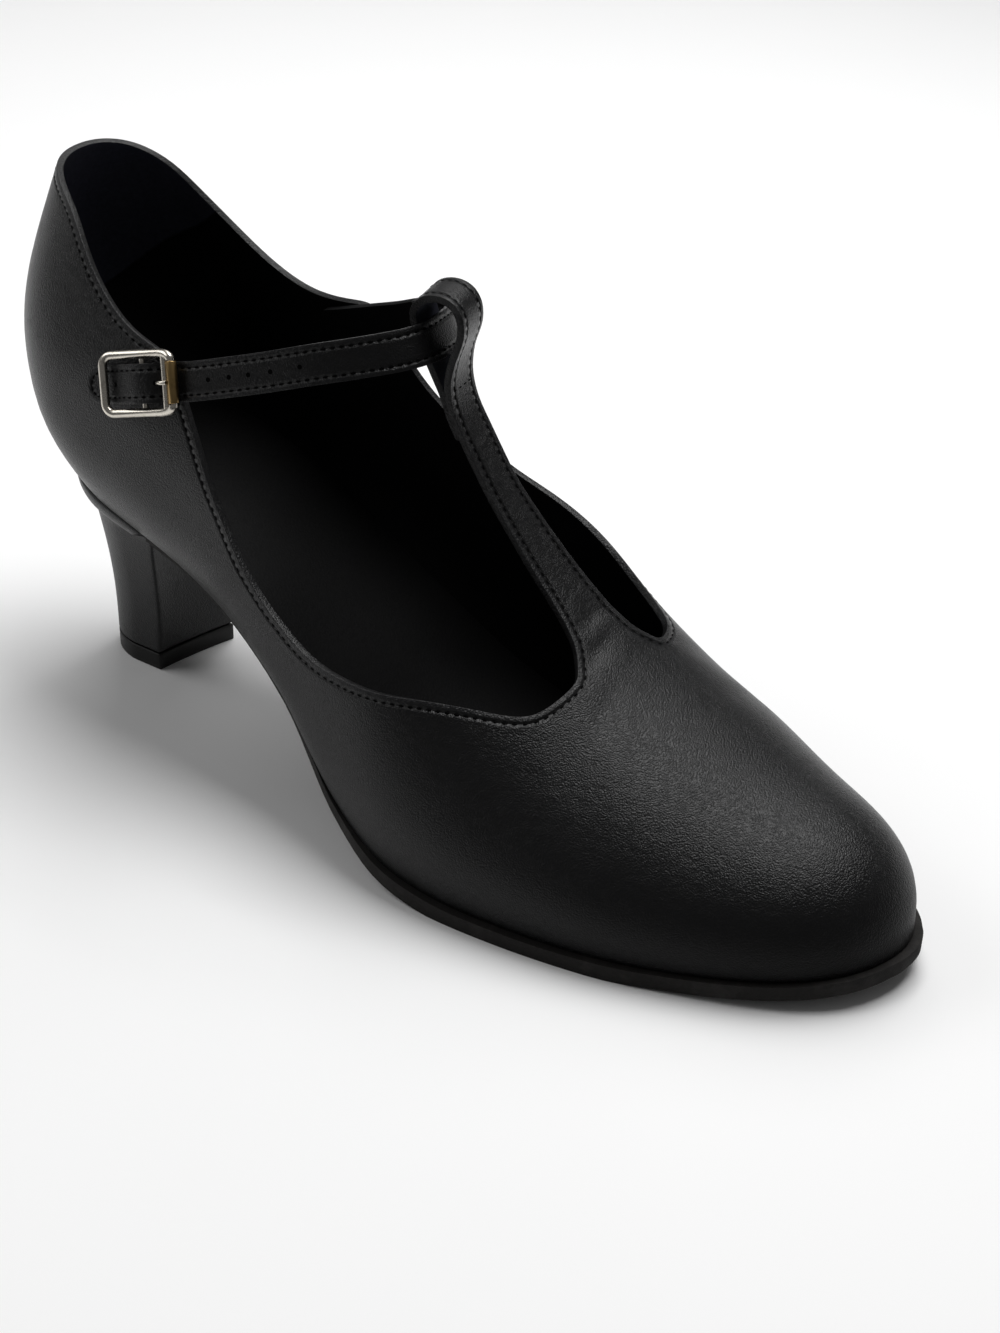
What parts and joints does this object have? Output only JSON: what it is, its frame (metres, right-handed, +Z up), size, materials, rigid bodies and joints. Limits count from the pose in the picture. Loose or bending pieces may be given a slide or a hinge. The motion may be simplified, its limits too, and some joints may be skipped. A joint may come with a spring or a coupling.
{
  "type": "t strap heeled shoe",
  "caption": "Closed-toe women's shoe with a folded T strap, a buckled ankle strap and a flared block heel.",
  "frame": {"origin": "on the floor under the middle of the shoe's bounding box", "axes": "+X from heel to toe, +Y to the inner side of the foot, +Z up; the buckle is on the -Y side"},
  "size_m": [0.2398, 0.0846, 0.1263],
  "materials": {
    "upper": "smooth black leather, semi-matt, fine grain",
    "outsole": "black brushed leather",
    "insole": "black lining leather, matt",
    "heel": "plastic core covered in smooth black leather",
    "top_lift": "hard black rubber, satin",
    "ankle_strap": "smooth black leather, semi-matt",
    "buckle_frame": "bright nickel plate",
    "buckle_roller": "polished brass",
    "buckle_prong": "bright nickel plate",
    "buckle_tab": "thin black leather"
  },
  "bodies": {
    "root": {"upper": "upper", "outsole": "outsole", "insole": "insole", "heel": "heel", "top_lift": "top_lift", "ankle_strap": "ankle_strap", "buckle_frame": "buckle_frame", "buckle_roller": "buckle_roller", "buckle_prong": "buckle_prong", "buckle_tab": "buckle_tab"}
  },
  "joints": []
}
